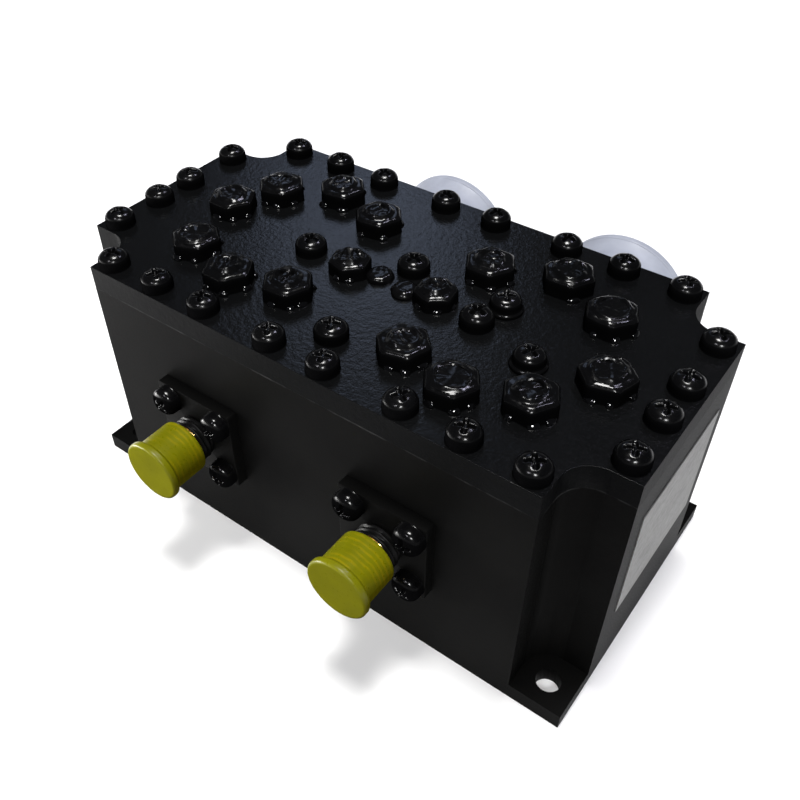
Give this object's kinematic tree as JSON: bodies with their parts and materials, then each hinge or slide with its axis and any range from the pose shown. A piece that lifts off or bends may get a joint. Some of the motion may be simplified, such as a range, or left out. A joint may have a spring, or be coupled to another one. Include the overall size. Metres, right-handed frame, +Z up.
{
  "type": "cavity filter",
  "caption": "Screwed rectangular microwave cavity filter with scalloped corners over mounting ears, locked tuning screws, and capped coaxial jacks on two sides.",
  "frame": {"origin": "middle of the housing's flat underside", "axes": "+Z up out of the cover with the tuning screws, +X to the right along the front face, +Y towards the rear face with the larger jacks; the small jacks point along -Y"},
  "size_m": [0.0801, 0.0705, 0.0399],
  "materials": {
    "painted_body": "satin black paint on machined aluminium",
    "painted_cover": "glossy black paint on aluminium plate",
    "lacquered_screws": "steel under glossy black lacquer",
    "lacquered_brass": "brass under glossy black lacquer",
    "plain_brass": "turned brass",
    "steel": "bright steel",
    "copper": "bright copper wire",
    "jack_gold": "gold-coloured plating, its flange painted black",
    "contact_gold": "gold-coloured plating",
    "insulator_white": "waxy white",
    "yellow_cap": "translucent yellow, soft sheen",
    "white_cap": "translucent white, soft sheen",
    "label_sheet": "satin light grey sheet with nothing on it"
  },
  "bodies": {
    "filter": {"housing": "painted_body", "cover_plate": "painted_cover", "cover_screws": "lacquered_screws", "inner_cover_screws": "lacquered_screws", "inner_screw_washers": "lacquered_screws", "resonator_tuning_screws": "lacquered_brass", "coupling_tuning_screws": "lacquered_brass", "lock_nuts": "lacquered_brass", "cross_coupling_screws": "lacquered_brass", "small_lock_nuts": "lacquered_brass", "set_screws": "lacquered_screws", "resonator_posts": "plain_brass", "post_screws": "steel", "tap_wires": "copper", "label": "label_sheet", "front_flange_screws": "lacquered_screws", "rear_flange_screws": "lacquered_screws", "front_left_jack_shell": "jack_gold", "front_left_insulator": "insulator_white", "front_left_contact": "contact_gold", "front_right_jack_shell": "jack_gold", "front_right_insulator": "insulator_white", "front_right_contact": "contact_gold", "rear_left_jack_shell": "jack_gold", "rear_left_insulator": "insulator_white", "rear_left_contact": "contact_gold", "rear_right_jack_shell": "jack_gold", "rear_right_insulator": "insulator_white", "rear_right_contact": "contact_gold"},
    "front_left_cap": {"front_left_cap": "yellow_cap"},
    "front_right_cap": {"front_right_cap": "yellow_cap"},
    "rear_left_cap": {"rear_left_cap": "white_cap"},
    "rear_right_cap": {"rear_right_cap": "white_cap"}
  },
  "joints": [
    {"name": "front_left_pull", "type": "slide", "parent": "filter", "child": "front_left_cap", "axis": [0, -1, 0], "range_m": [0, 0.012]},
    {"name": "front_right_pull", "type": "slide", "parent": "filter", "child": "front_right_cap", "axis": [0, -1, 0], "range_m": [0, 0.012]},
    {"name": "rear_left_pull", "type": "slide", "parent": "filter", "child": "rear_left_cap", "axis": [0, 1, 0], "range_m": [0, 0.02]},
    {"name": "rear_right_pull", "type": "slide", "parent": "filter", "child": "rear_right_cap", "axis": [0, 1, 0], "range_m": [0, 0.02]}
  ]
}
